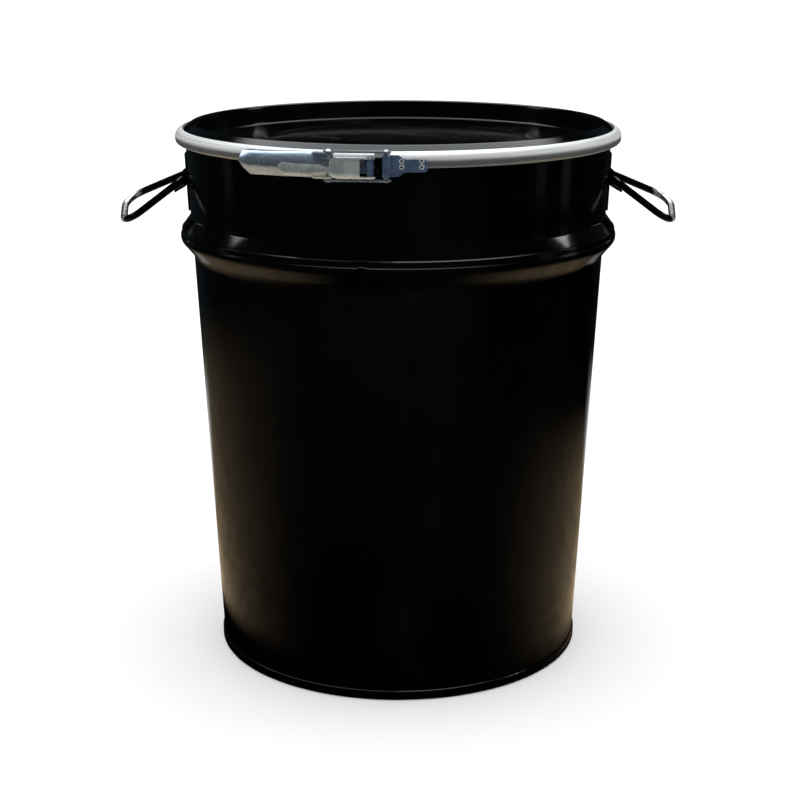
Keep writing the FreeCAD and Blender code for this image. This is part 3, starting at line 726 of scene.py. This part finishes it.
def body_section(x):
    """Outer pressing at x: slim with a rounded start, then a waist, a ridge and the hollowed palm."""
    web_r = LEVER_RADIUS + LEVER_SHEET + 0.05
    palm = smoothstep((x + 62.0) / 8.0)
    start = max(0.0, 1 - (x - PRESSING_START_X) / 4.0)
    corner = 3.4 * (1 - math.sqrt(1 - start * start))
    high = BODY_HIGH_Z + (PALM_HIGH_Z - BODY_HIGH_Z) * palm - corner
    low = BODY_LOW_Z + (PALM_LOW_Z - BODY_LOW_Z) * palm + corner
    waist = math.exp(-((x - WAIST_X) / 3.6) ** 2)
    loop = channel_section(
        web_r - BODY_DEPTH, web_r, low + 0.7 * waist, high - 0.9 * waist,
        6.2 - 3.4 * palm, 1.15 + 1.2 * palm)
    middle, half = (PALM_LOW_Z + PALM_HIGH_Z) / 2, 8.0
    shaped = []
    for r, z in loop:
        height = (z - middle) / half
        ridge_x = -57.5 + 4.5 * (1 - min(1.0, height * height))
        ridge = math.exp(-((x - ridge_x) / 1.6) ** 2) * (1 - smoothstep((abs(height) - 0.75) / 0.3))
        hollow = palm * (1 - smoothstep((x + 36.5) / 3.0)) * (1 - smoothstep((abs(height) - 0.6) / 0.35))
        front = smoothstep((r - web_r + 4.0) / 2.0)
        shaped.append((r + (0.25 * ridge - 0.45 * hollow - 0.9 * waist) * front, z))
    return shaped


def plate_prism(outline, low, high):
    """Vertices and faces of a flat plate with that plan outline."""
    count = len(outline)
    verts = [(x * MM, y * MM, z * MM) for z in (low, high) for x, y in outline]
    faces = [tuple(range(count))[::-1], tuple(range(count, 2 * count))]
    faces += [(k, (k + 1) % count, count + (k + 1) % count, count + k) for k in range(count)]
    return verts, faces


def stadium_outline(start, end, half):
    """Outline with round ends about start and end, and twice half wide."""
    round_steps = 10
    heading = math.atan2(end[1] - start[1], end[0] - start[0])
    points = []
    for centre, base in ((end, heading - math.pi / 2), (start, heading + math.pi / 2)):
        for i in range(round_steps + 1):
            angle = base + math.pi * i / round_steps
            points.append((centre[0] + half * math.cos(angle), centre[1] + half * math.sin(angle)))
    return points


def flange_pair(outline, low, high):
    """Two plates of the lever's sheet with that outline, one at the bottom and one at the top."""
    return [(outline, low, low + LEVER_SHEET), (outline, high - LEVER_SHEET, high)]


def add_plates(piece, plates):
    """Joins flat plates, given as (outline, low, high), to the piece's mesh."""
    work = bmesh.new()
    work.from_mesh(piece.data)
    for outline, low, high in plates:
        verts, faces = plate_prism(outline, low, high)
        made = [work.verts.new(v) for v in verts]
        for face in faces:
            work.faces.new([made[i] for i in face])
    bmesh.ops.recalc_face_normals(work, faces=work.faces)
    work.to_mesh(piece.data)
    work.free()
    smooth(piece, LEVER_SMOOTH_DEGREES)


def bore(piece, place):
    """Upright hole for a pin, right through the piece."""
    middle = (place[0] * MM, place[1] * MM, 0.5 * (LEVER_LOW_Z + LEVER_HIGH_Z) * MM)
    bpy.ops.mesh.primitive_cylinder_add(
        vertices=40, radius=PIN_HOLE_R * MM, depth=CUTTER_LENGTH * MM, location=middle)
    cutter = bpy.context.object
    cut = piece.modifiers.new("pin_hole", "BOOLEAN")
    cut.operation = "DIFFERENCE"
    cut.solver = "EXACT"
    cut.use_self = True
    cut.object = cutter
    with bpy.context.temp_override(object=piece, active_object=piece):
        bpy.ops.object.modifier_apply(modifier=cut.name)
    bpy.data.objects.remove(cutter)
    smooth(piece, LEVER_SMOOTH_DEGREES)


def build_lever():
    """Grip and outer pressing, with the ears that hold the link's pin and the pivot pin."""
    # blue tint: partly blue passivation, partly a painted reflection of blue light on the upright faces
    grip_zinc = zinc_latch_material("zinc_grip", (0.70, 0.87, 1.04), 0.04, 0.5145)
    palm_zinc = zinc_latch_material("zinc_palm", (0.90, 0.99, 0.98), 0.16, 0.5100)
    grip = sweep_lever("lever_grip_pressing", steps(LEVER_TIP_X, LEVER_NECK_X, 1.2), grip_section)
    ears = stadium_outline(GRIP_EAR, LINK_PIN, GRIP_EAR_HALF)
    add_plates(grip, flange_pair(ears, LEVER_LOW_Z, LEVER_HIGH_Z))
    palm = sweep_lever("lever_palm_pressing", steps(PRESSING_START_X, PALM_END_X, 0.6), body_section)
    ears = stadium_outline(PALM_EAR, PIVOT_PIN, PALM_EAR_HALF)
    add_plates(palm, flange_pair(ears, PALM_LOW_Z, PALM_HIGH_Z))
    bore(grip, LINK_PIN)
    bore(palm, LINK_PIN)
    bore(palm, PIVOT_PIN)
    for piece, node, zinc in ((grip, "lever_grip", grip_zinc), (palm, "lever_body", palm_zinc)):
        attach(piece, "lever")
        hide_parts(node)
        give(piece, zinc)


# ---- CAD pieces that keep their shape ------------------------------------------------------------
def dress_cad_nodes():
    """Materials for the CAD nodes that nothing above replaces: plain zinc where none is listed."""
    enamel = enamel_material("fitting_enamel", 0.10)
    wire = wire_material()
    # blue tint: partly blue passivation, partly a painted blue reflection
    blue_zinc = zinc_latch_material("zinc_leaf", (0.46, 0.64, 1.00), 0.07)
    rivet_zinc = rivet_material()
    plain_zinc = zinc_latch_material("zinc_pins", (0.90, 0.96, 1.0), 0.08)
    finishes = {
        "bottom_end": enamel,
        "handle_bracket_left": enamel,
        "handle_bracket_right": enamel,
        "handle_left": wire,
        "handle_right": wire,
        "lid_gasket": rubber_material("seal_rubber", 0.03),
        "bottom_seam_compound": rubber_material("seam_compound", 0.09),
        "fulcrum_bracket": blue_zinc,
        "hinge_leaf": blue_zinc,
        "hinge_leaf_rivets": rivet_zinc,
    }
    for name, node in nodes.items():
        if node.hide_render:
            continue
        give(node, finishes.get(name, plain_zinc))


# ---- stage, light and camera ---------------------------------------------------------------------
FLOOR_SIZE = 160.0
FLOOR_Z = -0.0005                           # just under the drum
WARM = (1.0, 0.75, 0.46)
HAZE = (0.009, 0.013, 0.015)
DRUM_FOOT_SHADE = 0.215                     # radius where the mirrored floor starts to lighten


def side_pools(m, x, span, across, behind):
    """Mirrored light on the floor at both sides of the drum, fading with distance."""
    right = m.ramp(x, -0.02, 0.02)
    side = m.plus(m.absolute(across), m.times(behind, 0.6))
    spread = m.math("POWER", m.math("MAXIMUM", side, 0.0), 2.3)
    near = m.math("DIVIDE", 0.1, m.math("MAXIMUM", span, 0.24))
    fade_right = m.times(m.ramp(span, 0.60, 0.98, 1.0, 0.0), right)
    fade_left = m.times(m.ramp(span, 0.95, 1.60, 1.0, 0.0), m.minus(1.0, right))
    fade = m.plus(fade_right, fade_left)
    shade_start = m.minus(DRUM_FOOT_SHADE, m.times(right, 0.04))
    shade = m.ramp(m.minus(span, shade_start), 0.0, 0.05)
    mottle = m.ramp(m.noise(m.coordinates, 16.0, 4.0, 0.6, 0.6), 0.30, 0.70, 0.72, 1.18)
    level = m.times(m.times(spread, near), m.times(fade, shade))
    return m.tinted(m.times(level, mottle), WARM)


def cool_haze(m, span, across):
    """Faint cool light in the mirrored floor, weaker at the sides and weakest on the right."""
    haze = m.times(m.ramp(across, 0.15, 0.80, 1.0, 0.08), m.ramp(span, 0.38, 0.75))
    haze = m.times(haze, m.ramp(m.absolute(across), 0.60, 0.95, 1.0, 0.25))
    return m.tinted(haze, HAZE)


def rear_glow(m, span, behind):
    """White light in the mirrored floor behind the drum."""
    rear = m.times(m.ramp(behind, 0.74, 0.90, 0.0, 0.75), m.ramp(span, 0.7, 1.3, 1.0, 0.0))
    return m.join(rear, rear, rear)


def build_floor():
    """Plain pale floor. Mirrored in the enamel it is dim, with a soft warm pool on each side."""
    bpy.ops.mesh.primitive_plane_add(size=FLOOR_SIZE, location=(0, 0, FLOOR_Z))
    floor = bpy.context.object
    floor.name = "studio_floor"
    m = Shader("studio_floor")
    x, y, _ = m.split()
    span = m.math("MAXIMUM", m.reach(x, y), 0.05)
    across = m.math("DIVIDE", x, span)
    behind = m.math("DIVIDE", y, span)
    glow = m.vector("ADD", side_pools(m, x, span, across, behind), cool_haze(m, span, across))
    glow = m.vector("ADD", glow, rear_glow(m, span, behind))
    lamp = m.node("ShaderNodeEmission")
    m.put(lamp.inputs["Color"], glow)
    m.finish(Base_Color=grey(0.97), Roughness=0.9, Specular_IOR_Level=0.0)
    chosen = m.choose(m.mirrored(), m.bsdf.outputs[0], lamp.outputs[0])
    m.put(m.tree.nodes["Material Output"].inputs["Surface"], chosen)
    give(floor, m.material)


DRUM_MIDDLE = (0, 0, 0.45)                  # the lights are turned towards this
WINDOW_SIZE = (0.34, 0.28)
STRIP_SIZE = (0.30, 1.2)
LIGHTS = (                                  # name, place, size, power and colour
    ("left_window", (-1.75, 0.30, 1.35), WINDOW_SIZE, 0.9, (1.0, 0.99, 0.96)),
    ("right_window", (1.75, 0.40, 1.35), WINDOW_SIZE, 1.3, (1.0, 0.98, 0.95)),
    ("right_strip_0", (2.4, -0.5, 0.1), STRIP_SIZE, 0.09, (1.0, 1.0, 1.0)),
    ("right_strip_1", (2.4, 0.3, 0.1), STRIP_SIZE, 0.09, (1.0, 1.0, 1.0)),
    ("left_strip", (-2.5, 0.4, 0.1), STRIP_SIZE, 0.06, (1.0, 1.0, 1.0)),
)


def soft_box(name, place, size, power, colour):
    """Area light that the camera doesn't see but the drum mirrors."""
    light = bpy.data.lights.new(name, "AREA")
    light.shape = "RECTANGLE"
    light.size, light.size_y = size
    light.energy = power
    light.color = colour
    lamp = bpy.data.objects.new(name, light)
    lamp.location = place
    direction = Vector(DRUM_MIDDLE) - Vector(place)
    lamp.rotation_euler = direction.to_track_quat("-Z", "Y").to_euler()
    lamp.visible_camera = False
    bpy.context.scene.collection.objects.link(lamp)


def build_lights():
    """Every light in the list."""
    for name, place, size, power, colour in LIGHTS:
        soft_box(name, place, size, power, colour)


SOFT_LIGHT_LEVEL = 2.7
SOFT_LIGHT_TINT = (0.94, 0.98, 1.0)
BACK_WALL = (0.012, 0.018, 0.022)
FRONT_WALL = (0.012, 0.016, 0.022)
PALE_STUDIO = grey(1.30)


def build_world():
    """Mirrored, it is a dark room under one broad soft light. Otherwise it is evenly pale."""
    world = bpy.data.worlds.new("studio")
    bpy.context.scene.world = world
    world.use_nodes = True
    m = Nodes(world.node_tree)
    background = m.tree.nodes["Background"]
    _, y, z = m.split(m.places["Generated"])
    lean = m.plus(z, m.times(y, 0.345))
    overhead = m.tinted(m.ramp(lean, 0.83, 0.92, 0.0, SOFT_LIGHT_LEVEL), SOFT_LIGHT_TINT)
    back = m.times(m.ramp(y, 0.45, 0.85), m.ramp(z, 0.45, 0.75, 1.0, 0.0))
    back = m.tinted(m.times(back, m.ramp(z, 0.10, 0.22)), BACK_WALL)
    front = m.times(m.ramp(y, -0.2, -0.8), m.ramp(z, 0.0, 0.3, 1.0, 0.0))
    front = m.tinted(front, FRONT_WALL)
    room = m.vector("ADD", m.vector("ADD", overhead, back), front)
    m.put(background.inputs["Color"], m.mix(m.mirrored(), PALE_STUDIO, room))
    background.inputs["Strength"].default_value = 1.0


CAMERA_PLACE = (0.0, -1.6652, 0.7102)
CAMERA_DOWN_DEGREES = 15.52                 # below level
CAMERA_LENS = 75.82                         # mm, on a sensor 36 mm wide
CAMERA_SHIFT = 0.00225


def build_camera():
    """Camera at the photograph's viewing angle, level from side to side."""
    camera = bpy.data.cameras.new("camera")
    camera.sensor_width = 36.0
    camera.lens = CAMERA_LENS
    camera.shift_x = CAMERA_SHIFT
    camera.clip_end = 200.0
    holder = bpy.data.objects.new("camera", camera)
    holder.location = CAMERA_PLACE
    holder.rotation_euler = (math.radians(90.0 - CAMERA_DOWN_DEGREES), 0.0, 0.0)
    bpy.context.scene.collection.objects.link(holder)
    bpy.context.scene.camera = holder
    bpy.context.scene.view_settings.view_transform = "Standard"


build_camera()
build_shell()
build_lid()
build_ring()
build_lever()
dress_cad_nodes()
build_floor()
build_lights()
build_world()
